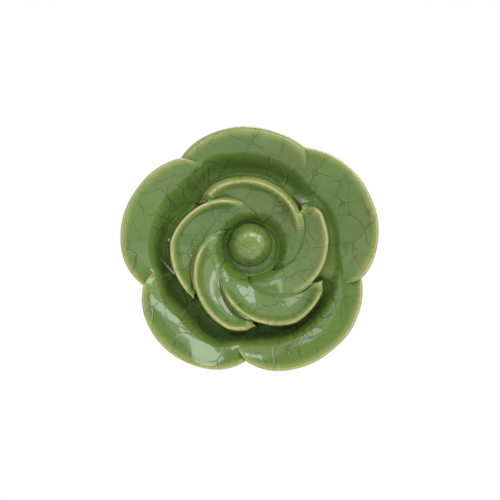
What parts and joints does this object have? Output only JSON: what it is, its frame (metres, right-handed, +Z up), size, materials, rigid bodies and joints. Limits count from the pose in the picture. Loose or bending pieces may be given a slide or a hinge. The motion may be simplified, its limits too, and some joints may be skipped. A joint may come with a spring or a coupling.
{
  "type": "ceramic flower drawer knob",
  "caption": "Glazed ceramic rose knob with overlapping petals, a turned brass ferrule and a through bolt with washer and nut.",
  "frame": {"origin": "centre of the ferrule's back face, on the bolt's axis, where the knob meets the drawer front", "axes": "+Y back along the bolt, away from the flower; +Z up as the flower is seen; +X to the right as it is seen from the front"},
  "size_m": [0.0454, 0.0619, 0.0433],
  "materials": {
    "glaze": "gloss",
    "cement": "matte",
    "steel": "satin",
    "rubber": "matte",
    "brass": "satin"
  },
  "bodies": {
    "knob": {"outer_petal_right": "glaze", "outer_petal_top": "glaze", "outer_petal_left": "glaze", "outer_petal_lower_left": "glaze", "outer_petal_lower_right": "glaze", "inner_petal_1": "glaze", "inner_petal_2": "glaze", "inner_petal_3": "glaze", "inner_petal_4": "glaze", "inner_petal_5": "glaze", "bead": "glaze", "flower_back": "glaze", "potting": "cement", "bolt": "steel", "cushion_washer": "rubber", "ferrule": "brass"},
    "washer": {"flat_washer": "steel"},
    "nut": {"nut": "steel"}
  },
  "joints": [
    {"name": "washer_travel", "type": "slide", "parent": "knob", "child": "washer", "axis": [0, 1, 0], "range_m": [-0.0176, 0.0205]},
    {"name": "nut_spin", "type": "hinge", "parent": "washer", "child": "nut", "pos_m": [0, 0.0206, 0], "axis": [0, 1, 0], "range_deg": [-9052, 10544]}
  ],
  "couplings": [
    {"joint": "nut_spin", "follows": "washer_travel", "rad_per_m": 8976}
  ]
}
